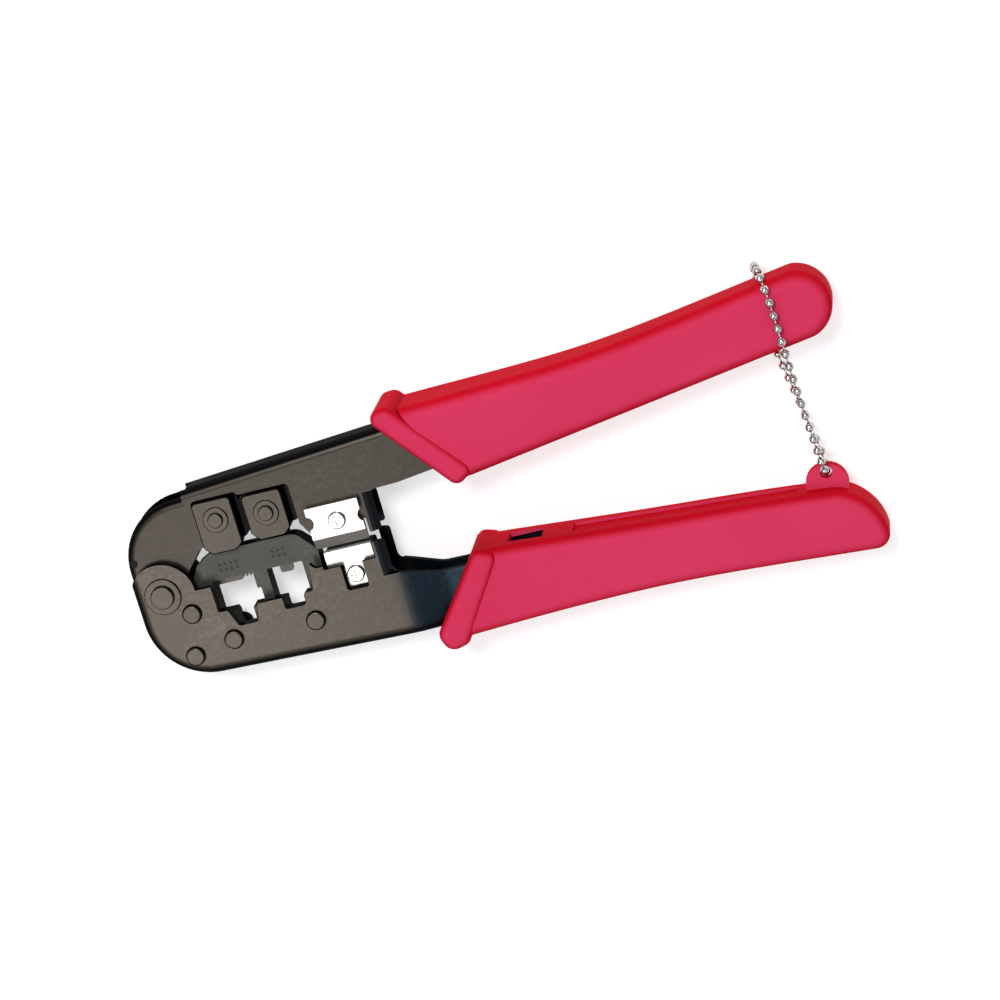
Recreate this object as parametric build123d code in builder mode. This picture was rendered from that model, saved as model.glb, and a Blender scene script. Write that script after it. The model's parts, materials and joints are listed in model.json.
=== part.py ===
from build123d import *
import os

# Crimping tool for modular plugs: two folded-steel arms on one tip pivot, a stacked die head with
# an eight-way and a six-way nest, a cutter and a stripper blade, moulded grips and a bead chain.
# All sizes are millimetres. The tool lies on its back: X runs from the head to the grips, Y is the
# way the arms open and Z is the tool's thickness. Outlines are drawn from the pivot's axis.

# ---- where the pivot stands, so that the tool's box is centred on the origin and rests on Z = 0
PIVOT_X = -89.47
PIVOT_Y = -7.99
GRIP_LIP_HALF = 10.4
MID_Z = GRIP_LIP_HALF

mid = Plane(origin=(PIVOT_X, PIVOT_Y, MID_Z))
plan_view = Plane(origin=(PIVOT_X, PIVOT_Y, MID_Z), x_dir=(1, 0, 0), z_dir=(0, -1, 0))

# ---- layers of the head, as distances from the mid-plane (front is +Z, back is its mirror)
FRAME_OUT = 6.8
FRAME_IN = 5.0
ARM_OUT = 4.8
ARM_IN = 3.2
DIE_OUT = 2.8
DIE_IN = 1.2
PAD_OUT = 6.2
REACH = 70.0

# ---- fasteners and pins; a rivet's head is a flange with a button in its middle
FIT = 0.04
PIVOT_R = 3.0
PIVOT_FLANGE = (4.9, 0.5)
PIVOT_BUTTON = (3.1, 1.4)
RIVET_R = 1.6
RIVET_HEAD_R = 2.6
RIVET_HEAD = 1.0
RIVET_ROUND = 0.6
PAD_RIVET_R = 1.5
PAD_FLANGE = (3.4, 0.4)
PAD_BUTTON = (2.0, 1.1)
HEAD_ROUND = 0.3
SCREW_R = 1.25
SCREW_HEAD_R = 2.3
SCREW_HEAD = 0.8
NUT_R = 2.5
NUT_TIP = 1.7
POST_R = 1.0
BUSH_R = 3.4
BUSH_PLAY = 0.1

# ---- return spring
WIRE_R = 0.4
COIL_R = 3.95
COIL_PITCH = 1.1
COIL_TURNS = 3
LEG_LENGTH = 11.5
LEG_OVERLAP = 0.3

# ---- sheet metal: the folds' outer radii; edges longer than LONG_EDGE are folds
SHEET = FRAME_OUT - FRAME_IN
FRAME_BEND_R = 3.2
ARM_BEND_R = 2.4
LONG_EDGE = 40

# ---- places in the side view
FRAME_RIVETS = [(6.1, -6.3), (14.9, -15.5), (3.6, -17.7), (37.4, -15.5)]
PAD_RIVET_8P = (19.6, 16.7)
PAD_RIVET_6P = (33.0, 15.5)
UPPER_SCREW = (50.4, 9.3)
LOWER_SCREW = (50.8, -6.2)
ARM_POST = (-5.4, 9.8)
FRAME_POST = (-5.4, -9.6)
FRAME_NOSE_X = -8.0
ARM_NOSE_X = -7.6
EAR_R = 8.7
ARM_EYE_R = 6.7

# ---- plug nests: left wall, right wall, ceiling, floor, latch slot left, right and bottom
NEST_TOP = -0.2
NEST_FLOOR = -9.4
NEST_8P = (12.7, 24.9)
LATCH_8P = (16.3, 21.3, -14.2)
SHOULDER_8P = (23.9, -4.6)
NEST_6P = (27.7, 37.4)
LATCH_6P = (30.0, 35.1, -12.6)
PUNCH_GAP = 0.1
PUNCH_HALF = 1.1
BLADE_PITCH = 1.02

# ---- the die plates' crowns and the stamped dots that count each nest's contacts
DIE_END = 57.0
CROWN_FRONT = 7.5
CROWN_BACK = 7.1
DOTS_8P = (18.4, 3.2)
DOTS_6P = (32.2, 3.6)
DOT_PITCH = 1.5
DOT_R = 0.5
DOT_DEPTH = 0.3

# ---- blades
BLADE_LEFT = 42.8
BLADE_RIGHT = 57.0
BLADE_TOP = 13.9
BLADE_BEVEL = 5.3
BLADE_EDGE = 2.4
EDGE_LAND = 0.25
BLADE_WAISTS = [(42.4, 9.9), (57.9, 9.2)]
BLADE_WAIST_R = 1.9
BLADE_OUT = 6.4
STRIPPER_OUT = 4.7

# ---- grips and tangs
TANG_END = 150.0
TANG_GAP = 0.1
TANG_HALF = 4.8
NECK_START = 63.0
NECK_END = 73.0
NECK_R = 14.0
GRIP_HALF_FRONT = 9.6
GRIP_HALF_END = 6.9
GRIP_START = 60.0
GRIP_FRONT = 74.0
GRIP_END = 190.0
GRIP_ROUND_FROM = 85.0
UPPER_GRIP_ROUND = 3.6
LOWER_GRIP_ROUND = 3.2
LIP_ROUND = 2.3
SLOT_X = 95.5
SLOT = (9.0, 7.6)
SLOT_TOP = -6.0
SLOT_DEPTH = 5.0
TAB_CENTRE = (173.8, -12.7)
TAB_R = 5.5
TAB_HALF = 1.4
TAB_HOLE = (174.2, -9.4)
TAB_HOLE_R = 1.6

# ---- bead chain
BEAD_R = 1.15
BEAD_COUNT = 38
LINK_R = 0.28


def rounded_face(corners):
    """A face with straight sides and its own radius at each corner (x, y, radius)."""
    points = [(x, y) for x, y, _ in corners]
    radii = [radius for _, _, radius in corners]
    with BuildLine() as border:
        FilletPolyline(*points, radius=radii, close=True)
    return Face(border.wires()[0])


def plan_face(half_widths):
    """A face symmetric about the mid-plane, from (x, half width) stations."""
    upper = [(x, half) for x, half in half_widths]
    lower = [(x, -half) for x, half in reversed(half_widths)]
    return Polygon(*upper, *lower, align=None, mode=Mode.PRIVATE)


def crossed(side, plan):
    """The solid whose side view is one face and whose plan view is another."""
    with BuildPart() as block:
        with BuildSketch(mid):
            add(side)
        extrude(amount=REACH, both=True)
        with BuildSketch(plan_view):
            add(plan)
        extrude(amount=REACH, both=True, mode=Mode.INTERSECT)
    return block.part


def plate(face, low, high):
    """A flat plate between two distances from the mid-plane."""
    with BuildPart() as sheet:
        with BuildSketch(mid.offset(low)):
            add(face)
        extrude(amount=high - low)
    return sheet.part


def bars(places, radius, low, high):
    """Round bars or hole tools along Z, one at each place."""
    with BuildPart() as group:
        with BuildSketch(mid.offset(low)):
            with Locations(*places):
                Circle(radius)
        extrude(amount=high - low)
    return group.part


def save(part, label):
    part.label = label
    export_step(part, f"parts/{label}.step")


os.makedirs("parts", exist_ok=True)

# ================================================================ lower arm
# A channel of 1.8 mm sheet, open at the top, whose walls form the head's outer layers. Behind the
# head it narrows into the tang that the lower grip is moulded over.

frame_side = rounded_face(
    [
        (FRAME_NOSE_X, 3.0, 0),
        (FRAME_NOSE_X, -23.7, 17.0),
        (76.0, -26.2, 30.0),
        (TANG_END, -25.8, 0),
        (TANG_END, -16.5, 0),
        (112.0, -12.2, 20.0),
        (99.0, -8.9, 6.0),
        (84.5, -8.9, 3.0),
        (79.0, -10.9, 3.0),
        (72.0, -10.8, 6.0),
        (60.6, -7.6, 2.4),
        (60.6, 1.5, 0.8),
        (57.5, 1.5, 0.3),
        (57.5, -1.9, 0.5),
        (41.0, -1.9, 1.5),
        (40.0, -0.4, 1.0),
        (7.0, -0.4, 0),
        (5.0, 3.0, 0),
    ]
)


def neck_face(inset):
    """The frame's plan: the head's width, a smooth neck, and the tang's width."""
    wide, narrow = FRAME_OUT - inset, TANG_HALF - inset
    side = [(-12, wide, 0), (NECK_START, wide, NECK_R), (NECK_END, narrow, NECK_R), (160, narrow, 0)]
    other_side = [(x, -half, radius) for x, half, radius in reversed(side)]
    return rounded_face(side + other_side)


frame_outer_plan = neck_face(0)
frame_inner_plan = neck_face(SHEET)
frame_hollow_side = rounded_face(
    [
        (-20, 20, 0),
        (-20, -40, 0),
        (4.0, -40, 0),
        (5.0, -22.1, 0.8),
        (76.0, -24.4, 20.0),
        (160, -24.0, 0),
        (160, 20, 0),
    ]
)
front_opening = rounded_face(
    [
        (12.9, 4.0, 0),
        (12.9, -7.6, 0.7),
        (15.4, -7.6, 0.5),
        (17.3, -12.4, 0.8),
        (22.6, -12.4, 0.8),
        (23.6, -7.6, 0.5),
        (30.4, -7.6, 0.5),
        (30.4, -10.9, 0.8),
        (36.2, -10.9, 0.8),
        (36.4, -7.6, 0.4),
        (39.0, -7.6, 0.8),
        (40.6, 4.0, 0),
    ]
)
back_opening = rounded_face(
    [
        (10.6, 4.0, 0),
        (10.6, -10.9, 0.8),
        (15.4, -10.9, 0.5),
        (15.4, -15.8, 1.0),
        (22.6, -15.8, 1.0),
        (22.6, -10.9, 0.5),
        (28.4, -10.9, 0.5),
        (28.4, -14.2, 0.8),
        (36.2, -14.2, 0.8),
        (36.2, -10.9, 0.5),
        (39.0, -10.9, 0.8),
        (39.0, 4.0, 0),
    ]
)
blade_recess = rounded_face(
    [
        (43.2, 4.0, 0),
        (43.2, -2.9, 0.4),
        (47.8, -2.9, 0.4),
        (47.8, -9.8, 0.8),
        (53.7, -9.8, 0.8),
        (53.7, -2.9, 0.4),
        (57.5, -2.9, 0.4),
        (57.5, 4.0, 0),
    ]
)
FRAME_END = [(58.0, 6.85), (60.7, 5.2), (62.0, 5.2), (62.0, 9.0), (58.0, 9.0)]
ARM_END = [(58.2, 4.85), (60.6, 3.4), (62.0, 3.4), (62.0, 7.0), (58.2, 7.0)]


def end_bevels(corners, low_y, high_y):
    """Wedge tools that slope the right-hand end of a wall on the front and on the back."""
    across = Plane(origin=mid.origin + Vector(0, low_y, 0), x_dir=(1, 0, 0), z_dir=(0, -1, 0))
    with BuildPart() as tools:
        with BuildSketch(across):
            Polygon(*corners, align=None)
            Polygon(*[(x, -z) for x, z in corners], align=None)
        extrude(amount=low_y - high_y)
    return tools.part


def long_edges(part, side, beyond):
    """The head's long edges on one side (1 is up, -1 is down), at least this far from the pivot."""
    return [
        edge
        for edge in part.edges()
        if edge.length > LONG_EDGE
        and side * (edge.center().Y - PIVOT_Y) > beyond
        and edge.center().X - PIVOT_X < 60
    ]


with BuildPart() as lower_frame:
    add(crossed(frame_side, frame_outer_plan))
    with BuildSketch(mid.offset(-FRAME_OUT)):
        Circle(EAR_R)
        with Locations((FRAME_NOSE_X - EAR_R, 0)):
            Rectangle(2 * EAR_R, 4 * EAR_R, mode=Mode.SUBTRACT)
    extrude(amount=2 * FRAME_OUT)
    fillet(long_edges(lower_frame, -1, 22), radius=FRAME_BEND_R)
    add(crossed(frame_hollow_side, frame_inner_plan), mode=Mode.SUBTRACT)
    add(plate(front_opening, FRAME_IN - 0.5, FRAME_OUT + 1), mode=Mode.SUBTRACT)
    add(plate(back_opening, -FRAME_OUT - 1, -FRAME_IN + 0.5), mode=Mode.SUBTRACT)
    add(plate(blade_recess, FRAME_IN - 0.5, FRAME_OUT + 1), mode=Mode.SUBTRACT)
    add(end_bevels(FRAME_END, -8.0, 4.0), mode=Mode.SUBTRACT)
    add(bars([(0, 0)], PIVOT_R + FIT, -REACH, REACH), mode=Mode.SUBTRACT)
    add(bars(FRAME_RIVETS, RIVET_R + FIT, -REACH, REACH), mode=Mode.SUBTRACT)
save(lower_frame.part, "lower_frame")

# ================================================================ upper arm
# A channel of 1.6 mm sheet, open at the bottom, nested between the lower arm's walls.

arm_side = rounded_face(
    [
        (ARM_NOSE_X, -2.0, 0),
        (ARM_NOSE_X, 22.9, 17.0),
        (70.0, 28.1, 60.0),
        (TANG_END, 33.9, 0),
        (TANG_END, 25.6, 0),
        (80.0, 16.4, 20.0),
        (68.0, 14.9, 20.0),
        (60.5, 14.7, 1.4),
        (60.5, 3.7, 0.8),
        (57.5, 3.7, 0.4),
        (57.5, 7.7, 0.4),
        (44.6, 7.7, 0.5),
        (43.5, 6.3, 0.5),
        (42.4, 6.6, 0.6),
        (40.3, 10.3, 0.6),
        (40.3, 21.5, 1.2),
        (26.6, 21.5, 0.6),
        (26.0, 22.5, 0.6),
        (13.9, 22.5, 1.2),
        (13.9, 9.9, 0.8),
        (12.6, 9.4, 1.6),
        (8.2, 4.6, 4.0),
        (5.8, -2.0, 0),
    ]
)
# the fold stands higher than the walls' rounded nose
fold_side = rounded_face(
    [
        (12.3, 21.8, 0),
        (11.9, 25.8, 0),
        (70.0, 30.1, 0),
        (82.0, 29.9, 0),
        (82.0, 26.4, 0),
        (70.0, 25.6, 0),
    ]
)
window_top = rounded_face([(13.9, 15.0, 0), (13.9, 22.5, 1.2), (26.0, 22.5, 0.6), (26.0, 15.0, 0)])
arm_plan = plan_face([(-12, ARM_OUT), (160, ARM_OUT)])
arm_hollow_plan = plan_face([(-12, ARM_IN), (160, ARM_IN)])
arm_hollow_side = rounded_face(
    [
        (-20, 40, 0),
        (-20, -20, 0),
        (160, -20, 0),
        (160, 32.5, 0),
        (70.0, 28.35, 40.0),
        (13.6, 24.2, 0.6),
        (12.2, 40, 0),
    ]
)
with BuildPart() as arm_fold:
    add(crossed(fold_side, arm_plan))
    fillet(long_edges(arm_fold, 1, 26), radius=ARM_BEND_R)

with BuildPart() as upper_arm:
    add(crossed(arm_side, arm_plan))
    with BuildSketch(mid.offset(-ARM_OUT)):
        Circle(ARM_EYE_R)
    extrude(amount=2 * ARM_OUT)
    fillet(long_edges(upper_arm, 1, 24), radius=ARM_BEND_R)
    add(arm_fold.part)
    add(plate(window_top, -REACH, REACH), mode=Mode.SUBTRACT)
    add(crossed(arm_hollow_side, arm_hollow_plan), mode=Mode.SUBTRACT)
    add(end_bevels(ARM_END, 3.0, 14.4), mode=Mode.SUBTRACT)
    add(bars([(0, 0)], PIVOT_R + FIT, -REACH, REACH), mode=Mode.SUBTRACT)
    add(bars([ARM_POST], POST_R + FIT, -REACH, REACH), mode=Mode.SUBTRACT)
    add(bars([UPPER_SCREW], SCREW_R + FIT, 0, REACH), mode=Mode.SUBTRACT)
save(upper_arm.part, "upper_arm")

# ================================================================ pivot, rivets and spring


def ringed_heads(places, seat, flange, button):
    """Rivet heads standing on the front and the back: low flanges with a raised button on each."""
    with BuildPart() as heads:
        for outward in (1, -1):
            for radius, height in (flange, button):
                with BuildSketch(mid.offset(outward * seat)):
                    with Locations(*places):
                        Circle(radius)
                extrude(amount=outward * height)
                tops = heads.edges().group_by(Axis.Z)
                fillet(tops[-1] if outward > 0 else tops[0], radius=HEAD_ROUND)
    return heads.part


with BuildPart() as pivot_rivet:
    add(bars([(0, 0)], PIVOT_R, -FRAME_OUT, FRAME_OUT))
    add(ringed_heads([(0, 0)], FRAME_OUT, PIVOT_FLANGE, PIVOT_BUTTON))
save(pivot_rivet.part, "pivot_rivet")

with BuildPart() as pivot_bush:
    with BuildSketch(mid.offset(BUSH_PLAY - ARM_IN)):
        Circle(BUSH_R)
        Circle(PIVOT_R + FIT, mode=Mode.SUBTRACT)
    extrude(amount=2 * (ARM_IN - BUSH_PLAY))
save(pivot_bush.part, "pivot_bush")

with BuildPart() as frame_rivets:
    add(bars(FRAME_RIVETS, RIVET_R, -FRAME_OUT, FRAME_OUT))
    add(bars(FRAME_RIVETS, RIVET_HEAD_R, FRAME_OUT, FRAME_OUT + RIVET_HEAD))
    add(bars(FRAME_RIVETS, RIVET_HEAD_R, -FRAME_OUT - RIVET_HEAD, -FRAME_OUT))
    rims = frame_rivets.edges().group_by(Axis.Z)
    fillet(rims[-1] + rims[0], radius=RIVET_ROUND)
save(frame_rivets.part, "frame_rivets")

with BuildPart() as arm_post:
    add(bars([ARM_POST], POST_R, -ARM_OUT, ARM_OUT))
save(arm_post.part, "arm_spring_post")

with BuildPart() as frame_post:
    add(bars([FRAME_POST], POST_R, -FRAME_IN, FRAME_IN))
save(frame_post.part, "frame_spring_post")

# Torsion spring round the bush: three turns of wire and two legs that bear on the posts.
with BuildPart() as return_spring:
    with BuildLine(mid.offset(-COIL_PITCH * COIL_TURNS / 2)):
        turns = Helix(pitch=COIL_PITCH, height=COIL_PITCH * COIL_TURNS, radius=COIL_R)
    with BuildSketch(Plane(origin=turns @ 0, z_dir=turns % 0)):
        Circle(WIRE_R)
    sweep(path=turns, is_frenet=True)
    for end, direction in ((turns @ 0, 1), (turns @ 1, -1)):
        start = end + Vector(0, LEG_OVERLAP * direction, 0)
        with BuildSketch(Plane(origin=start, x_dir=(1, 0, 0), z_dir=(0, -direction, 0))):
            Circle(WIRE_R - 0.02)
        extrude(amount=LEG_LENGTH)
    # the legs leave the coil on its tip side
    mirror(about=Plane(origin=mid.origin, z_dir=(1, 0, 0)), mode=Mode.REPLACE)
save(return_spring.part, "return_spring")

# ================================================================ die stack


def nest_face(walls, latch, shoulder=None):
    """One plug nest in side view: the body's rectangle, the latch slot and any shoulder."""
    left, right = walls
    slot_left, slot_right, slot_bottom = latch
    corners = [
        (left, NEST_TOP, 0.4),
        (left, NEST_FLOOR, 0.3),
        (slot_left, NEST_FLOOR, 0),
        (slot_left, slot_bottom, 0.6),
        (slot_right, slot_bottom, 0.6),
        (slot_right, NEST_FLOOR, 0),
        (right, NEST_FLOOR, 0.3),
    ]
    if shoulder:
        step_x, step_y = shoulder
        corners += [(right, step_y, 0.3), (step_x, step_y, 0.2), (step_x, NEST_TOP, 0.4)]
    else:
        corners += [(right, NEST_TOP, 0.4)]
    return rounded_face(corners)


def die_face(top):
    """The die plates' outline; the front plate's visible crown is higher than the others'."""
    return rounded_face(
        [
            (7.0, -0.4, 0.6),
            (10.0, 4.9, 2.5),
            (14.4, top, 3.0),
            (37.6, top, 4.0),
            (42.3, 2.0, 2.0),
            (42.3, -4.6, 0.5),
            (43.9, -4.6, 0.5),
            (43.9, 0.7, 0.3),
            (DIE_END, 0.7, 0.5),
            (DIE_END, -20.9, 1.0),
            (7.0, -20.0, 3.0),
            (1.2, -20.0, 2.0),
            (1.2, -14.6, 2.0),
            (7.0, -12.0, 2.0),
            (2.6, -7.4, 1.5),
            (5.4, -4.2, 2.0),
        ]
    )


nest_8p = nest_face(NEST_8P, LATCH_8P, SHOULDER_8P)
nest_6p = nest_face(NEST_6P, LATCH_6P)


def die_plate(top, low, high):
    with BuildPart() as die:
        add(plate(die_face(top), low, high))
        add(plate(nest_8p, low - 1, high + 1), mode=Mode.SUBTRACT)
        add(plate(nest_6p, low - 1, high + 1), mode=Mode.SUBTRACT)
        add(bars(FRAME_RIVETS, RIVET_R + FIT, low - 1, high + 1), mode=Mode.SUBTRACT)
        add(bars([LOWER_SCREW], SCREW_R + FIT, low - 1, high + 1), mode=Mode.SUBTRACT)
    return die.part


with BuildPart() as die_plate_front:
    add(die_plate(CROWN_FRONT, DIE_IN, DIE_OUT))
    with BuildSketch(mid.offset(DIE_OUT)):
        for centre, columns in ((DOTS_8P, 4), (DOTS_6P, 3)):
            with Locations(centre):
                with GridLocations(DOT_PITCH, DOT_PITCH, columns, 2):
                    Circle(DOT_R)
    extrude(amount=-DOT_DEPTH, mode=Mode.SUBTRACT)
save(die_plate_front.part, "die_plate_front")
save(die_plate(CROWN_BACK, -DIE_OUT, -DIE_IN), "die_plate_back")

with BuildPart() as die_core:
    add(die_plate(CROWN_BACK, -DIE_IN, DIE_IN))
    with BuildSketch(mid.offset(-DIE_IN)):
        for left, right in (NEST_8P, NEST_6P):
            with Locations(((left + right) / 2, 4.0)):
                Rectangle(right - left, 12.0)
    extrude(amount=2 * DIE_IN, mode=Mode.SUBTRACT)
save(die_core.part, "die_core")

spacer_face = rounded_face(
    [
        (1.2, -20.0, 1.5),
        (1.2, -15.4, 1.5),
        (9.0, -12.8, 2.0),
        (15.6, -12.8, 1.0),
        (17.0, -16.4, 1.0),
        (22.6, -16.4, 1.0),
        (24.0, -14.4, 1.0),
        (34.6, -14.4, 1.0),
        (36.6, -13.2, 1.0),
        (56.0, -13.2, 1.0),
        (56.0, -20.9, 1.0),
        (7.0, -20.0, 0),
    ]
)
for label, low, high in (("spacer_front", DIE_OUT, FRAME_IN), ("spacer_back", -FRAME_IN, -DIE_OUT)):
    with BuildPart() as spacer:
        add(plate(spacer_face, low, high))
        add(bars(FRAME_RIVETS, RIVET_R + FIT, low - 1, high + 1), mode=Mode.SUBTRACT)
    save(spacer.part, label)

# ================================================================ punches
# Each punch slides in the core between the die plates. Its front half is the strain-relief bar, and
# the hardened contact blades stand in its back half.


def punch(walls, top, bar_left, bar_right, bar_tip):
    left, right = walls
    with BuildPart() as slider:
        with BuildSketch(mid.offset(-PUNCH_HALF)):
            with Locations(((left + right) / 2, (top + NEST_TOP) / 2)):
                Rectangle(right - left - 2 * PUNCH_GAP, top - NEST_TOP)
        extrude(amount=2 * PUNCH_HALF)
        bar = [
            (bar_left, 1.0, 0),
            (bar_left, bar_tip, 0.7),
            (bar_right, bar_tip, 0.7),
            (bar_right, 1.0, 0),
        ]
        add(plate(rounded_face(bar), 0.1, PUNCH_HALF))
    return slider.part


def contact_blades(walls, count, tip):
    """The row of contact blades under a punch, at the plug's contact pitch."""
    centre = (walls[0] + walls[1]) / 2
    with BuildPart() as row:
        with BuildSketch(mid.offset(-PUNCH_HALF)):
            with Locations((centre, (tip + NEST_TOP) / 2)):
                with GridLocations(BLADE_PITCH, 1, count, 1):
                    Rectangle(0.5, NEST_TOP - tip)
        extrude(amount=0.9)
    return row.part


save(punch(NEST_8P, 5.9, 13.1, 20.7, -1.9), "punch_8p")
save(punch(NEST_6P, 5.2, 30.8, 34.3, -2.6), "punch_6p")
save(contact_blades(NEST_8P, 8, -1.7), "contact_blades_8p")
save(contact_blades(NEST_6P, 6, -1.1), "contact_blades_6p")

# ================================================================ pressing blocks on the upper arm
# Each block is two raised pads and a core between them, clamped by one ringed rivet.

pad_8p_face = rounded_face(
    [
        (14.2, 22.2, 1.3),
        (24.8, 22.2, 1.3),
        (24.8, 9.2, 1.5),
        (22.6, 7.7, 1.5),
        (16.0, 7.7, 2.0),
        (14.2, 9.8, 1.5),
    ]
)
pad_6p_face = rounded_face(
    [
        (27.5, 21.2, 1.3),
        (38.2, 21.2, 1.3),
        (38.2, 10.4, 1.4),
        (36.2, 8.6, 1.4),
        (29.4, 8.6, 1.8),
        (27.5, 10.8, 1.5),
    ]
)


def pad(face, place, low, high, outer):
    with BuildPart() as block:
        add(plate(face, low, high))
        rim = block.edges().group_by(Axis.Z)[-1 if outer > 0 else 0]
        chamfer(rim, length=0.35)
        add(bars([place], PAD_RIVET_R + FIT, low - 1, high + 1), mode=Mode.SUBTRACT)
    return block.part


def pressing_core(place, wide_bottom, left, right, top, nose_left, nose_right, nose_bottom):
    with BuildPart() as core:
        with BuildSketch(mid.offset(-ARM_IN)):
            with Locations(((left + right) / 2, (top + wide_bottom) / 2)):
                RectangleRounded(right - left, top - wide_bottom, 1.0)
        extrude(amount=2 * ARM_IN)
        with BuildSketch(mid.offset(-PUNCH_HALF)):
            with Locations(((nose_left + nose_right) / 2, (wide_bottom + 2 + nose_bottom) / 2)):
                RectangleRounded(nose_right - nose_left, wide_bottom + 2 - nose_bottom, 0.8)
        extrude(amount=2 * PUNCH_HALF)
        add(bars([place], PAD_RIVET_R + FIT, -REACH, REACH), mode=Mode.SUBTRACT)
    return core.part


save(pad(pad_8p_face, PAD_RIVET_8P, ARM_IN, PAD_OUT, 1), "pressing_pad_8p_front")
save(pad(pad_8p_face, PAD_RIVET_8P, -PAD_OUT, -ARM_IN, -1), "pressing_pad_8p_back")
save(pad(pad_6p_face, PAD_RIVET_6P, ARM_IN, PAD_OUT, 1), "pressing_pad_6p_front")
save(pad(pad_6p_face, PAD_RIVET_6P, -PAD_OUT, -ARM_IN, -1), "pressing_pad_6p_back")
save(pressing_core(PAD_RIVET_8P, 10.0, 14.1, 26.1, 21.4, 16.6, 22.4, 6.4), "pressing_core_8p")
save(pressing_core(PAD_RIVET_6P, 11.0, 26.3, 40.1, 20.6, 30.2, 36.0, 6.4), "pressing_core_6p")

with BuildPart() as pad_rivets:
    places = [PAD_RIVET_8P, PAD_RIVET_6P]
    add(bars(places, PAD_RIVET_R, -PAD_OUT, PAD_OUT))
    add(ringed_heads(places, PAD_OUT, PAD_FLANGE, PAD_BUTTON))
save(pad_rivets.part, "pressing_pad_rivets")

# ================================================================ blades
with BuildPart() as cutter_blade:
    with BuildSketch(mid.offset(ARM_OUT)):
        with Locations(((BLADE_LEFT + BLADE_RIGHT) / 2, (BLADE_EDGE + BLADE_TOP) / 2)):
            Rectangle(BLADE_RIGHT - BLADE_LEFT, BLADE_TOP - BLADE_EDGE)
        with Locations(*BLADE_WAISTS):
            Circle(BLADE_WAIST_R, mode=Mode.SUBTRACT)
        with Locations(UPPER_SCREW):
            Circle(SCREW_R + FIT, mode=Mode.SUBTRACT)
    extrude(amount=BLADE_OUT - ARM_OUT)
    # the ground bevel runs down to a fine edge on the shearing face
    with BuildSketch(Plane(origin=mid.origin, x_dir=(0, 1, 0), z_dir=(1, 0, 0))):
        Polygon(
            (BLADE_BEVEL, BLADE_OUT),
            (BLADE_EDGE, ARM_OUT + EDGE_LAND),
            (BLADE_EDGE, BLADE_OUT + 1),
            (BLADE_BEVEL, BLADE_OUT + 1),
            align=None,
        )
    extrude(amount=REACH, mode=Mode.SUBTRACT)
save(cutter_blade.part, "cutter_blade")

stripper_face = rounded_face(
    [
        (44.0, 1.0, 0.2),
        (44.0, -3.2, 0.4),
        (48.3, -3.2, 0.3),
        (48.3, -9.3, 0.4),
        (53.2, -9.3, 0.4),
        (53.2, -3.2, 0.3),
        (56.7, -3.2, 0.4),
        (56.7, 1.0, 0.2),
    ]
)
with BuildPart() as stripper_blade:
    add(plate(stripper_face, DIE_OUT, STRIPPER_OUT))
    add(bars([LOWER_SCREW], SCREW_R + FIT, 0, REACH), mode=Mode.SUBTRACT)
save(stripper_blade.part, "stripper_blade")


def cross_head_screw(place, seat, tip):
    """A pan-head screw with a cross recess, standing on its seat and running down to its tip."""
    with BuildPart() as screw:
        add(bars([place], SCREW_HEAD_R, seat, seat + SCREW_HEAD))
        fillet(screw.edges().group_by(Axis.Z)[-1], radius=SCREW_HEAD / 2)
        add(bars([place], SCREW_R, tip, seat))
        with BuildSketch(mid.offset(seat + 0.35)):
            with Locations(place):
                Rectangle(2.6, 0.5)
                Rectangle(0.5, 2.6)
        extrude(amount=1, mode=Mode.SUBTRACT)
    return screw.part


save(cross_head_screw(UPPER_SCREW, BLADE_OUT, NUT_TIP), "cutter_screw")
save(cross_head_screw(LOWER_SCREW, STRIPPER_OUT, -DIE_IN), "stripper_screw")

with BuildPart() as cutter_nut:
    with BuildSketch(mid.offset(NUT_TIP)):
        with Locations(UPPER_SCREW):
            RegularPolygon(radius=NUT_R, side_count=6)
            Circle(SCREW_R + FIT, mode=Mode.SUBTRACT)
    extrude(amount=ARM_IN - NUT_TIP)
save(cutter_nut.part, "cutter_nut")

# ================================================================ grips
grip_plan = plan_face(
    [
        (GRIP_START, GRIP_HALF_FRONT),
        (GRIP_FRONT, GRIP_HALF_FRONT),
        (GRIP_END, GRIP_HALF_END),
    ]
)
upper_lip_corners = [
    (64.0, 35.3, 2.7),
    (71.9, 35.7, 2.7),
    (89.3, 14.8, 2.5),
    (83.7, 11.1, 2.5),
]
lower_lip_corners = [
    (82.7, -6.1, 2.5),
    (67.6, -26.4, 3.0),
    (69.4, -31.8, 3.2),
    (75.0, -30.4, 3.0),
    (89.4, -8.0, 2.5),
]
upper_pocket = [
    (60.0, 29.6, 0),
    (70.0, 30.25, 0),
    (82.15, 30.05, 0),
    (82.15, 29.3, 0),
    (TANG_END + 1, 34.2, 0),
    (TANG_END + 1, 25.3, 0),
    (80.0, 16.2, 0),
    (66.0, 14.4, 0),
]
upper_pocket_plan = plan_face([(50, ARM_OUT + TANG_GAP), (160, ARM_OUT + TANG_GAP)])
lower_pocket = [
    (58.0, -6.9, 0),
    (72.0, -10.65, 0),
    (79.0, -10.75, 0),
    (84.5, -8.75, 0),
    (99.0, -8.75, 0),
    (112.0, -12.0, 0),
    (TANG_END + 1, -16.3, 0),
    (TANG_END + 1, -26.0, 0),
    (76.0, -26.35, 0),
    (58.0, -25.6, 0),
]
lower_pocket_plan = neck_face(-TANG_GAP)


def round_edges(grip):
    """The grip's edges behind its collar."""
    return [edge for edge in grip.edges() if edge.center().X > PIVOT_X + GRIP_ROUND_FROM]


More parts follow.
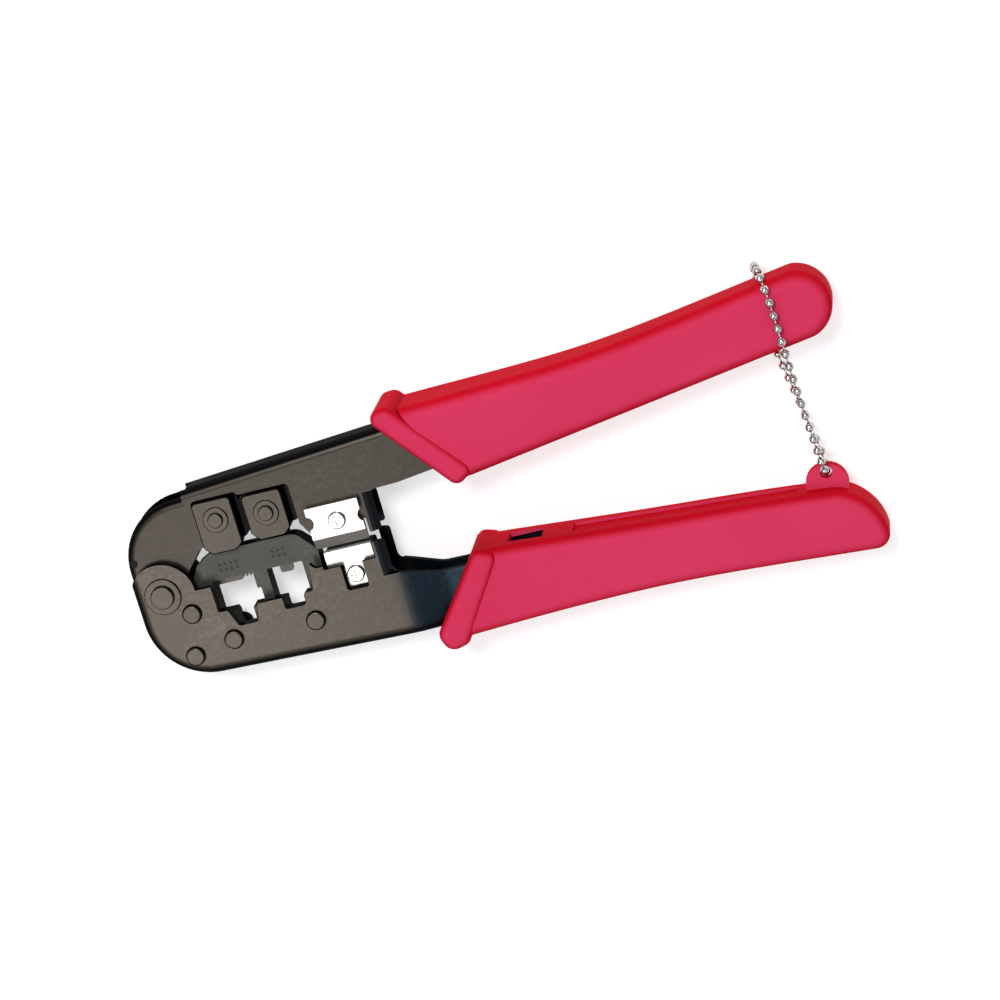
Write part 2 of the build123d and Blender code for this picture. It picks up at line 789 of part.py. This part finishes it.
def grip_lip(corners):
    """The raised collar at the front of a grip."""
    with BuildPart() as lip:
        with BuildSketch(mid.offset(-GRIP_LIP_HALF)):
            add(rounded_face(corners))
        extrude(amount=2 * GRIP_LIP_HALF)
        rims = lip.edges().group_by(Axis.Z)
        fillet(rims[-1] + rims[0], radius=LIP_ROUND)
    return lip.part


with BuildPart() as upper_grip:
    with BuildSketch(mid):
        with BuildLine():
            top = Spline((74.0, 34.2), (98.0, 34.85), (122.0, 36.05), (150.0, 39.7), (178.0, 44.1))
            end_top = ThreePointArc(top @ 1, (186.5, 36.4), (180.3, 26.4))
            Line(end_top @ 1, (86.0, 12.4))
            Line((86.0, 12.4), top @ 0)
        make_face()
    extrude(amount=REACH, both=True)
    with BuildSketch(plan_view):
        add(grip_plan)
    extrude(amount=REACH, both=True, mode=Mode.INTERSECT)
    fillet(round_edges(upper_grip), radius=UPPER_GRIP_ROUND)
    add(grip_lip(upper_lip_corners))
    add(crossed(rounded_face(upper_pocket), upper_pocket_plan), mode=Mode.SUBTRACT)
save(upper_grip.part, "upper_grip")

slot_plane = Plane(origin=mid.origin + Vector(SLOT_X, SLOT_TOP, 0), x_dir=(1, 0, 0), z_dir=(0, 1, 0))
inner_panel_side = rounded_face([(108.0, 0.0, 0), (108.0, -9.6, 0.4), (166.0, -13.3, 0.4), (166.0, 0.0, 0)])
inner_panel_plan = plan_face([(107, 3.6), (167, 3.1)])
with BuildPart() as lower_grip:
    with BuildSketch(mid):
        with BuildLine():
            inner = Spline((82.0, -6.8), (104.0, -8.4), (130.0, -10.25), (156.0, -11.85), (176.0, -13.7))
            shoulder = ThreePointArc(inner @ 1, (183.1, -18.7), (186.3, -26.8))
            heel = ThreePointArc(shoulder @ 1, (185.2, -30.0), (182.2, -31.1))
            under = Spline(heel @ 1, (158.0, -29.3), (130.0, -27.75), (104.0, -27.8), (74.0, -29.0))
            Line(under @ 1, inner @ 0)
        make_face()
    extrude(amount=REACH, both=True)
    with BuildSketch(plan_view):
        add(grip_plan)
    extrude(amount=REACH, both=True, mode=Mode.INTERSECT)
    fillet(round_edges(lower_grip), radius=LOWER_GRIP_ROUND)
    add(grip_lip(lower_lip_corners))
    # chain tab
    with BuildSketch(mid.offset(-TAB_HALF)):
        with Locations(TAB_CENTRE):
            Circle(TAB_R)
    extrude(amount=2 * TAB_HALF)
    add(bars([TAB_HOLE], TAB_HOLE_R, -REACH, REACH), mode=Mode.SUBTRACT)
    # a slot through the inner face shows the tang, and a shallow panel runs on behind it
    with BuildSketch(slot_plane):
        Rectangle(*SLOT)
    extrude(amount=-SLOT_DEPTH, mode=Mode.SUBTRACT)
    add(crossed(inner_panel_side, inner_panel_plan), mode=Mode.SUBTRACT)
    add(crossed(rounded_face(lower_pocket), lower_pocket_plan), mode=Mode.SUBTRACT)
save(lower_grip.part, "lower_grip")

# ================================================================ bead chain
# One closed loop round the upper grip and through the tab, drawn tight.
chain_points = [
    (174.2, -9.4, 0.0),
    (174.2, -8.4, 2.9),
    (174.0, -5.0, 4.9),
    (173.3, 8.0, 7.4),
    (172.6, 22.0, 8.7),
    (172.2, 31.0, 8.9),
    (171.8, 39.0, 8.7),
    (170.9, 44.6, 6.2),
    (169.9, 46.0, 0.0),
    (169.0, 44.6, -6.2),
    (168.6, 39.0, -8.7),
    (168.6, 31.0, -8.9),
    (169.0, 22.0, -8.7),
    (171.4, 8.0, -7.4),
    (173.8, -5.0, -4.9),
    (174.2, -8.4, -2.9),
]
with BuildPart() as chain_beads:
    with BuildLine(mid) as chain_route:
        Spline(*chain_points, periodic=True)
    route = chain_route.wires()[0]
    bead_centres = [route @ (index / BEAD_COUNT) for index in range(BEAD_COUNT)]
    with Locations(*bead_centres):
        Sphere(BEAD_R)
print("chain length", round(route.length, 1), "pitch", round(route.length / BEAD_COUNT, 2))
save(chain_beads.part, "chain_beads")

with BuildPart() as chain_links:
    for index in range(BEAD_COUNT):
        start = bead_centres[index]
        finish = bead_centres[(index + 1) % BEAD_COUNT]
        along = (finish - start).normalized()
        gap = (finish - start).length - 2 * BEAD_R
        with BuildSketch(Plane(origin=start + along * (BEAD_R - 0.05), z_dir=along)):
            Circle(LINK_R)
        extrude(amount=gap + 0.1)
save(chain_links.part, "chain_links")

whole = Compound([piece.part for piece in (lower_frame, upper_arm, upper_grip, lower_grip, chain_beads)])
box = whole.bounding_box()
print("box middle, which should be at 0, 0:", round(box.center().X, 3), round(box.center().Y, 3))
print("box size", round(box.size.X, 2), round(box.size.Y, 2), round(box.size.Z, 2))
print("lowest point, which should be 0:", round(box.min.Z, 3))
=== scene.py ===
import json
from math import cos, pi, radians, sin

import bmesh
import bpy
from mathutils import Matrix, Vector


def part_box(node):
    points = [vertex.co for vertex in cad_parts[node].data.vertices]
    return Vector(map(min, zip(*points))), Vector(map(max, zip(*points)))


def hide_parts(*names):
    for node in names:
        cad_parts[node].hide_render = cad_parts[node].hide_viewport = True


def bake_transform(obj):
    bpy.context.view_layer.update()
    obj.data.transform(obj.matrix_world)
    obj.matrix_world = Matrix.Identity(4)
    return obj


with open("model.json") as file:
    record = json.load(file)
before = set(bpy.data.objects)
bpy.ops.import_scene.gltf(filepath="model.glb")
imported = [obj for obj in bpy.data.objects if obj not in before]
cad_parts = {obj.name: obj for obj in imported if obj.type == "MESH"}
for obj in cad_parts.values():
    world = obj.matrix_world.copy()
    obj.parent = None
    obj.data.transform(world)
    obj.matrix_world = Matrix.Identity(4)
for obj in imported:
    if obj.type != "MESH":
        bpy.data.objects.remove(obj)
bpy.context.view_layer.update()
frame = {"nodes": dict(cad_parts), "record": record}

# A crimping tool for modular plugs, lying on its back on a plain pale floor. The steel head keeps
# its modelled shape and gets its finishes here, and the chain and the spring are built in full.

NODES = frame["nodes"]
MM = 0.001

# ---- the tool's own places, all taken from the frame
PIVOT = (Vector(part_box("pivot_rivet")[0]) + Vector(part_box("pivot_rivet")[1])) / 2
MID_Z = PIVOT.z


def place(x, y, z=0.0):
    """A point given in millimetres from the pivot's axis and the mid-plane."""
    return PIVOT + Vector((x, y, z)) * MM


# ---- the camera's direction and lean, its distance and lens; the floor and the light all round
VIEW_SIDE = 0.11
VIEW_RISE = 0.325
VIEW_LEAN = radians(15.7)
VIEW_DISTANCE = 0.8
VIEW_LENS = 112.3
VIEW_SENSOR = 36.0
VIEW_AIM = place(91.54, 2.72)
FLOOR_HALF = 3.0
WORLD_LIGHT = 0.34

# ---- the bead chain's closed route, the size of its beads and of the bars between them
CHAIN_ROUTE = [
    (174.2, -9.4, 0.0),
    (174.2, -8.4, 2.9),
    (174.0, -5.0, 4.9),
    (173.3, 8.0, 7.4),
    (172.6, 22.0, 8.7),
    (172.2, 31.0, 8.9),
    (171.8, 39.0, 8.7),
    (170.9, 44.6, 6.2),
    (169.9, 46.0, 0.0),
    (169.0, 44.6, -6.2),
    (168.6, 39.0, -8.7),
    (168.6, 31.0, -8.9),
    (169.0, 22.0, -8.7),
    (171.4, 8.0, -7.4),
    (173.8, -5.0, -4.9),
    (174.2, -8.4, -2.9),
]
BEAD_COUNT = 38
BEAD_R = 1.15 * MM
BEAD_HOLE_R = 0.34 * MM
BAR_R = 0.24 * MM
BAR_START = 0.85 * BEAD_R
BEAD_SIDES = 20
BEAD_STEPS = 9
BAR_SIDES = 10
ROUTE_STEPS = 24

# ---- the return spring: its coil round the bush and the two legs that bear on the posts
COIL_R = 3.95
COIL_PITCH = 1.1
COIL_TURNS = 3
LEG_LENGTH = 11.2
WIRE_R = 0.4 * MM
TURN_STEPS = 40

# ---- where the frame's neck turns from its brown-grey steel to a painted dark blue reflection and shade
NECK = (place(59.0, 0).x, place(65.0, 0).x)


# ================================================================ node helpers


class Shader:
    """A node tree with a principled shader, and short ways to add textures to it."""

    def __init__(self, name):
        self.material = bpy.data.materials.new(name)
        self.material.use_nodes = True
        self.tree = self.material.node_tree
        self.tree.nodes.clear()
        self.surface = self.tree.nodes.new("ShaderNodeBsdfPrincipled")
        output = self.tree.nodes.new("ShaderNodeOutputMaterial")
        self.link(self.surface.outputs["BSDF"], output.inputs["Surface"])
        coordinates = self.tree.nodes.new("ShaderNodeTexCoord")
        self.point = coordinates.outputs["Object"]
        self.geometry = self.tree.nodes.new("ShaderNodeNewGeometry")

    def link(self, source, target):
        self.tree.links.new(source, target)

    def set(self, **values):
        """Uniform values on the shader's own sockets."""
        for name, value in values.items():
            self.surface.inputs[name.replace("_", " ")].default_value = value

    def noise(self, scale, detail=2.0, roughness=0.5, stretch=(1.0, 1.0, 1.0)):
        """A noise pattern; scale is in repeats per metre."""
        mapping = self.tree.nodes.new("ShaderNodeMapping")
        mapping.inputs["Scale"].default_value = stretch
        self.link(self.point, mapping.inputs["Vector"])
        texture = self.tree.nodes.new("ShaderNodeTexNoise")
        texture.inputs["Scale"].default_value = scale
        texture.inputs["Detail"].default_value = detail
        texture.inputs["Roughness"].default_value = roughness
        self.link(mapping.outputs["Vector"], texture.inputs["Vector"])
        return texture.outputs["Fac"]

    def ramp(self, value, low, high, out_low=0.0, out_high=1.0):
        """Maps a value's range to another one, held at both ends."""
        node = self.tree.nodes.new("ShaderNodeMapRange")
        node.inputs["From Min"].default_value = low
        node.inputs["From Max"].default_value = high
        node.inputs["To Min"].default_value = out_low
        node.inputs["To Max"].default_value = out_high
        self.link(value, node.inputs["Value"])
        return node.outputs["Result"]

    def mix(self, factor, low, high):
        """A colour between two colours."""
        node = self.tree.nodes.new("ShaderNodeMix")
        node.data_type = "RGBA"
        self.link(factor, node.inputs["Factor"])
        for socket, colour in ((node.inputs[6], low), (node.inputs[7], high)):
            if hasattr(colour, "is_linked"):
                self.link(colour, socket)
            else:
                socket.default_value = (*colour, 1.0)
        return node.outputs[2]

    def math(self, operation, first, second):
        """A sum on two values, each a socket or a number."""
        node = self.tree.nodes.new("ShaderNodeMath")
        node.operation = operation
        for socket, value in zip(node.inputs, (first, second)):
            if hasattr(value, "is_linked"):
                self.link(value, socket)
            else:
                socket.default_value = value
        return node.outputs["Value"]

    def edges(self):
        """1 on convex edges, 0.5 on flat ground and less in the hollows."""
        return self.geometry.outputs["Pointiness"]

    def broad_faces(self, low, high):
        """1 on the tool's flat front and back, 0 on its narrow sides and steep bevels."""
        split = self.tree.nodes.new("ShaderNodeSeparateXYZ")
        self.link(self.geometry.outputs["Normal"], split.inputs["Vector"])
        upright = self.math("MULTIPLY", split.outputs["Z"], split.outputs["Z"])
        return self.ramp(upright, low, high)

    def axis(self, name):
        """The piece's own X, Y or Z in metres."""
        split = self.tree.nodes.new("ShaderNodeSeparateXYZ")
        self.link(self.point, split.inputs["Vector"])
        return split.outputs[name]

    def beyond_middle(self, distance):
        """1 where the surface lies further than this many millimetres from the tool's mid-plane."""
        offset = self.math("SUBTRACT", self.axis("Z"), MID_Z)
        height = self.math("ABSOLUTE", offset, 0.0)
        return self.ramp(height, (distance - 0.1) * MM, distance * MM)

    def bump(self, height, strength, distance):
        node = self.tree.nodes.new("ShaderNodeBump")
        node.inputs["Strength"].default_value = strength
        node.inputs["Distance"].default_value = distance
        self.link(height, node.inputs["Height"])
        self.link(node.outputs["Normal"], self.surface.inputs["Normal"])

    def colour(self, source):
        self.link(source, self.surface.inputs["Base Color"])

    def roughness(self, source):
        self.link(source, self.surface.inputs["Roughness"])


# ================================================================ materials

# near-black painted shade for the steel's narrow sides, steep bevels and inner faces
PAINTED_SIDE_SHADE = (0.006, 0.006, 0.007)
# dark blue-black painted reflection and shade for the frame's neck
PAINTED_BLUE_REFLECTION = (0.017, 0.032, 0.048)
DARK_EDGE_ON = (0.06, 0.06, 0.065, 1.0)


def black_steel(name, painted_shade_within=0.0, face=(0.096, 0.082, 0.069), rough=0.36, neck=None):
    """Black-oxide steel under a film of oil.

    Its flats keep their brown-grey only beyond the given distance in millimetres from the mid-plane
    and off the neck; its narrow sides, steep bevels and the inner faces nearer the mid-plane are
    near-black painted shade.
    """
    steel = Shader(name)
    steel.set(Metallic=1.0, Specular_Tint=DARK_EDGE_ON, Coat_Weight=0.08, Coat_Roughness=0.2)
    mottle = steel.noise(110.0, 4.0, 0.6)
    dull = tuple(value * 0.95 for value in face)
    flat = steel.mix(steel.ramp(mottle, 0.3, 0.7), dull, face)
    broad = steel.broad_faces(0.70, 0.90)
    unshaded_faces = steel.math("MULTIPLY", broad, steel.beyond_middle(painted_shade_within))
    if neck:
        start, end = neck
        # painted reflection and shade: the neck's flats turn dark blue-black
        on_neck = steel.ramp(steel.axis("X"), start, end)
        flat = steel.mix(on_neck, flat, PAINTED_BLUE_REFLECTION)
        unshaded_faces = steel.math("MAXIMUM", unshaded_faces, steel.math("MULTIPLY", on_neck, broad))
    rub = steel.ramp(steel.noise(900.0, 3.0), 0.45, 0.7)
    wear = steel.math("MULTIPLY", steel.ramp(steel.edges(), 0.56, 0.66, 0.0, 0.4), rub)
    bare = tuple(value * 1.9 for value in face)
    worn = steel.mix(wear, flat, bare)
    # painted shade: sides, steep bevels and faces nearer the mid-plane than the given distance go
    # near-black
    steel.colour(steel.mix(unshaded_faces, PAINTED_SIDE_SHADE, worn))
    lay = steel.noise(420.0, 3.0, 0.6, stretch=(1.0, 9.0, 1.0))
    steel.roughness(steel.ramp(lay, 0.25, 0.75, rough - 0.04, rough + 0.06))
    steel.bump(steel.noise(2600.0, 3.0, 0.6), 0.06, 0.00004)
    return steel.material


def bright_steel(name, tint, rough, painted_side_shade=0.16, lines=(14.0, 1.0, 1.0)):
    """Ground or plated steel with fine grinding lines; its bevels and sides are painted darker as
    shade.
    """
    steel = Shader(name)
    steel.set(Metallic=1.0)
    lay = steel.noise(700.0, 3.0, 0.6, stretch=lines)
    smear = steel.noise(160.0, 3.0)
    dull = tuple(value * 0.9 for value in tint)
    flat = steel.mix(steel.ramp(smear, 0.3, 0.7), dull, tint)
    # painted shade: a darker copy of the tint on the bevels and sides
    side = tuple(value * painted_side_shade for value in tint)
    steel.colour(steel.mix(steel.broad_faces(0.7, 0.97), side, flat))
    steel.roughness(steel.ramp(lay, 0.3, 0.7, rough - 0.06, rough + 0.08))
    steel.bump(lay, 0.10, 0.00003)
    return steel.material


def red_vinyl(name):
    """Crimson moulded vinyl with a fine texture: deep red on its rounded sides, and a painted pale
    sheen on its broad faces.
    """
    vinyl = Shader(name)
    vinyl.set(Specular_IOR_Level=0.005)
    clouds = vinyl.ramp(vinyl.noise(30.0, 3.0), 0.3, 0.7)
    # painted sheen: the broad faces are a paler pink than the deep red of the rounded sides
    face = vinyl.mix(clouds, (0.63, 0.032, 0.092), (0.67, 0.042, 0.110))
    side = vinyl.mix(clouds, (0.52, 0.004, 0.014), (0.56, 0.005, 0.018))
    vinyl.colour(vinyl.mix(vinyl.broad_faces(0.35, 0.93), side, face))
    grain = vinyl.noise(2400.0, 3.0, 0.65)
    vinyl.roughness(vinyl.ramp(grain, 0.3, 0.7, 0.40, 0.54))
    vinyl.bump(grain, 0.16, 0.0001)
    return vinyl.material


def pale_floor(name):
    """A matt white sheet, softly lit from below like a product table."""
    sheet = Shader(name)
    sheet.set(Roughness=0.9, Specular_IOR_Level=0.1)
    sheet.set(Emission_Color=(1.0, 1.0, 1.0, 1.0), Emission_Strength=0.55)
    sheet.colour(sheet.mix(sheet.noise(6.0), (0.66, 0.66, 0.66), (0.68, 0.68, 0.68)))
    return sheet.material


MATERIALS = {
    "black_steel": black_steel("black_steel"),
    "die_steel": black_steel("die_steel", 2.5, (0.088, 0.088, 0.079), 0.50),
    "pad_steel": black_steel("pad_steel", 5.5, (0.082, 0.071, 0.060), 0.34),
    "rivet_steel": black_steel("rivet_steel", 6.0, (0.094, 0.081, 0.068), 0.34),
    "punch_steel": bright_steel("punch_steel", (0.10, 0.087, 0.072), 0.34),
    "spring_steel": bright_steel("spring_steel", (0.26, 0.25, 0.24), 0.3),
    "bright_blade": bright_steel("bright_blade", (0.84, 0.79, 0.74), 0.30),
    "bright_screw": bright_steel("bright_screw", (0.85, 0.82, 0.78), 0.22),
    "chain_metal": bright_steel("chain_metal", (0.88, 0.86, 0.83), 0.12, 0.6, (1.0, 1.0, 1.0)),
    "red_grip": red_vinyl("red_grip"),
}
# the folded channels have their own finishes; each keeps its brown-grey only on the flats of its
# outer skin and is painted shade elsewhere
SKINS = {
    "lower_frame": black_steel("frame_steel", 6.3, neck=NECK),
    "upper_arm": black_steel("arm_steel", 4.3, (0.068, 0.058, 0.049)),
}

for subpart in frame["record"]["subparts"]:
    node = NODES[subpart["node"]]
    node.data.materials.clear()
    node.data.materials.append(SKINS.get(node.name, MATERIALS[subpart["material_slot"]]))

# ================================================================ chain and spring


def add_piece(name, build, slot):
    """A new mesh object from a finished bmesh, with smooth faces and its slot's material."""
    bmesh.ops.recalc_face_normals(build, faces=build.faces)
    mesh = bpy.data.meshes.new(name)
    build.to_mesh(mesh)
    build.free()
    mesh.shade_smooth()
    mesh.materials.append(MATERIALS[slot])
    piece = bpy.data.objects.new(name, mesh)
    bpy.context.scene.collection.objects.link(piece)
    return piece


def lathe(build, profile, centre, along, sides):
    """A closed turned shape about an axis; the profile is (distance along, radius) pairs."""
    across = along.orthogonal().normalized()
    beside = along.cross(across)
    rings = []
    for distance, radius in profile:
        ring = []
        for side in range(sides):
            angle = 2 * pi * side / sides
            spoke = across * cos(angle) + beside * sin(angle)
            ring.append(build.verts.new(centre + along * distance + spoke * radius))
        rings.append(ring)
    for lower, upper in zip(rings, rings[1:]):
        for side in range(sides):
            following = (side + 1) % sides
            build.faces.new((lower[side], lower[following], upper[following], upper[side]))
    build.faces.new(rings[0])
    build.faces.new(rings[-1])


def smooth_route(points, steps):
    """Points along a closed smooth curve through the given ones."""
    count = len(points)
    route = []
    for index in range(count):
        before, start, end, after = [points[(index + shift) % count] for shift in (-1, 0, 1, 2)]
        for step in range(steps):
            t = step / steps
            bend = 2 * before - 5 * start + 4 * end - after
            twist = 3 * start - before - 3 * end + after
            route.append(start + 0.5 * ((end - before) * t + bend * t * t + twist * t**3))
    return route


def even_points(route, count):
    """Points and directions at equal distances along a closed route."""
    closed = route + [route[0]]
    lengths = [(b - a).length for a, b in zip(closed, closed[1:])]
    spacing = sum(lengths) / count
    places, travelled, wanted = [], 0.0, 0.0
    for index, length in enumerate(lengths):
        while wanted < travelled + length and len(places) < count:
            places.append(closed[index].lerp(closed[index + 1], (wanted - travelled) / length))
            wanted += spacing
        travelled += length
    directions = [(places[(i + 1) % count] - places[i - 1]).normalized() for i in range(count)]
    return places, directions


def bead_profile():
    """A pressed bead: round, with a fine seam round its middle and a dimple at each end."""
    half = []
    for step in range(BEAD_STEPS + 1):
        angle = pi / 2 * step / BEAD_STEPS
        half.append((BEAD_R * sin(angle), BEAD_R * cos(angle)))
    rim = [(distance, radius) for distance, radius in half[1:] if radius > BEAD_HOLE_R]
    end = rim[-1][0]
    upper = [(0.02 * BEAD_R, BEAD_R * 0.985), (0.05 * BEAD_R, BEAD_R)] + rim
    upper += [(end + 0.05 * BEAD_R, BEAD_HOLE_R * 1.3), (end - 0.1 * BEAD_R, BEAD_HOLE_R)]
    lower = [(-distance, radius) for distance, radius in reversed(upper)]
    return lower + upper


def chain():
    """The bead chain: beads at equal distances and waisted bars between them."""
    points = [place(*point) for point in CHAIN_ROUTE]
    centres, directions = even_points(smooth_route(points, ROUTE_STEPS), BEAD_COUNT)
    beads, bars = bmesh.new(), bmesh.new()
    for index, centre in enumerate(centres):
        lathe(beads, bead_profile(), centre, directions[index], BEAD_SIDES)
        following = centres[(index + 1) % BEAD_COUNT]
        along = (following - centre).normalized()
        last = (following - centre).length - BAR_START
        middle = (BAR_START + last) / 2
        waist = [(BAR_START, BAR_R * 1.1), (middle, BAR_R * 0.9), (last, BAR_R * 1.1)]
        lathe(bars, waist, centre, along, BAR_SIDES)
    for name, build in (("chain_beads", beads), ("chain_links", bars)):
        piece = add_piece(f"{name}_detail", build, "chain_metal")
        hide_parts(name)
        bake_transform(piece)


def spring():
    """The torsion spring: a leg, the coil's turns and the other leg, as one round wire."""
    half = COIL_PITCH * COIL_TURNS / 2
    path = [place(-COIL_R, -LEG_LENGTH, half), place(-COIL_R, -LEG_LENGTH / 2, half)]
    for step in range(COIL_TURNS * TURN_STEPS + 1):
        turn = 2 * pi * step / TURN_STEPS
        height = half - COIL_PITCH * step / TURN_STEPS
        path.append(place(-COIL_R * cos(turn), COIL_R * sin(turn), height))
    path += [place(-COIL_R, LEG_LENGTH / 2, -half), place(-COIL_R, LEG_LENGTH, -half)]
    curve = bpy.data.curves.new("return_spring_path", "CURVE")
    curve.dimensions = "3D"
    curve.bevel_depth = WIRE_R
    curve.bevel_resolution = 4
    curve.use_fill_caps = True
    line = curve.splines.new("POLY")
    line.points.add(len(path) - 1)
    for point, where in zip(line.points, path):
        point.co = (*where, 1.0)
    wire = bpy.data.objects.new("return_spring_path", curve)
    build = bmesh.new()
    build.from_mesh(wire.to_mesh())
    bpy.data.objects.remove(wire)
    piece = add_piece("return_spring_detail", build, "spring_steel")
    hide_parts("return_spring")
    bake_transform(piece)


chain()
spring()

# ================================================================ floor, lights and camera


def floor():
    """One wide level sheet under the tool."""
    mesh = bpy.data.meshes.new("floor")
    half = FLOOR_HALF
    corners = [(-half, -half, 0), (half, -half, 0), (half, half, 0), (-half, half, 0)]
    mesh.from_pydata(corners, [], [(0, 1, 2, 3)])
    sheet = bpy.data.objects.new("floor", mesh)
    bpy.context.scene.collection.objects.link(sheet)
    mesh.materials.append(pale_floor("floor"))


def look_along(position, target, up):
    """The matrix of a camera or lamp that looks from one point at another."""
    back = (position - target).normalized()
    right = up.cross(back).normalized()
    top = back.cross(right)
    turn = Matrix((right, top, back)).transposed().to_4x4()
    return Matrix.Translation(position) @ turn


def in_picture(x, y, z):
    """A direction given as picture right, picture up and towards the viewer."""
    along, across = cos(VIEW_LEAN), sin(VIEW_LEAN)
    return Vector((x * along + y * across, -x * across + y * along, z))


def softbox(name, direction, distance, size, watts, colour=(1.0, 1.0, 1.0)):
    """A rectangular lamp at a distance in metres, facing the middle of the tool."""
    data = bpy.data.lights.new(name, "AREA")
    data.shape = "RECTANGLE"
    data.size, data.size_y = size
    data.energy = watts
    data.color = colour
    lamp = bpy.data.objects.new(name, data)
    bpy.context.scene.collection.objects.link(lamp)
    target = Vector((0, 0, MID_Z))
    position = target + direction.normalized() * distance
    lamp.matrix_world = look_along(position, target, in_picture(0, 1, 0))


def lights():
    """A key from above, a broad lamp that the flats mirror, a bluish one and an even white world."""
    softbox("key_light", in_picture(-0.2, 0.5, 1.0), 1.3, (0.4, 0.35), 10.0)
    softbox("face_light", in_picture(-0.36, -0.50, 1.0), 1.25, (0.5, 0.5), 2.6)
    softbox("cool_light", in_picture(0.9, -0.35, 0.9), 1.2, (0.3, 0.5), 1.6, (0.55, 0.78, 1.0))
    world = bpy.data.worlds.new("studio")
    bpy.context.scene.world = world
    world.use_nodes = True
    background = world.node_tree.nodes["Background"]
    background.inputs["Color"].default_value = (1.0, 1.0, 1.0, 1.0)
    background.inputs["Strength"].default_value = WORLD_LIGHT


def camera():
    """A long lens high above the tool, with the picture's upright leaning across it."""
    data = bpy.data.cameras.new("camera")
    data.lens = VIEW_LENS
    data.sensor_width = VIEW_SENSOR
    data.clip_start = 0.01
    data.clip_end = 20.0
    eye = bpy.data.objects.new("camera", data)
    bpy.context.scene.collection.objects.link(eye)
    towards = in_picture(VIEW_SIDE, VIEW_RISE, 1.0).normalized()
    eye.matrix_world = look_along(VIEW_AIM + towards * VIEW_DISTANCE, VIEW_AIM, in_picture(0, 1, 0))
    bpy.context.scene.camera = eye


floor()
lights()
camera()
bpy.context.scene.view_settings.view_transform = "Standard"
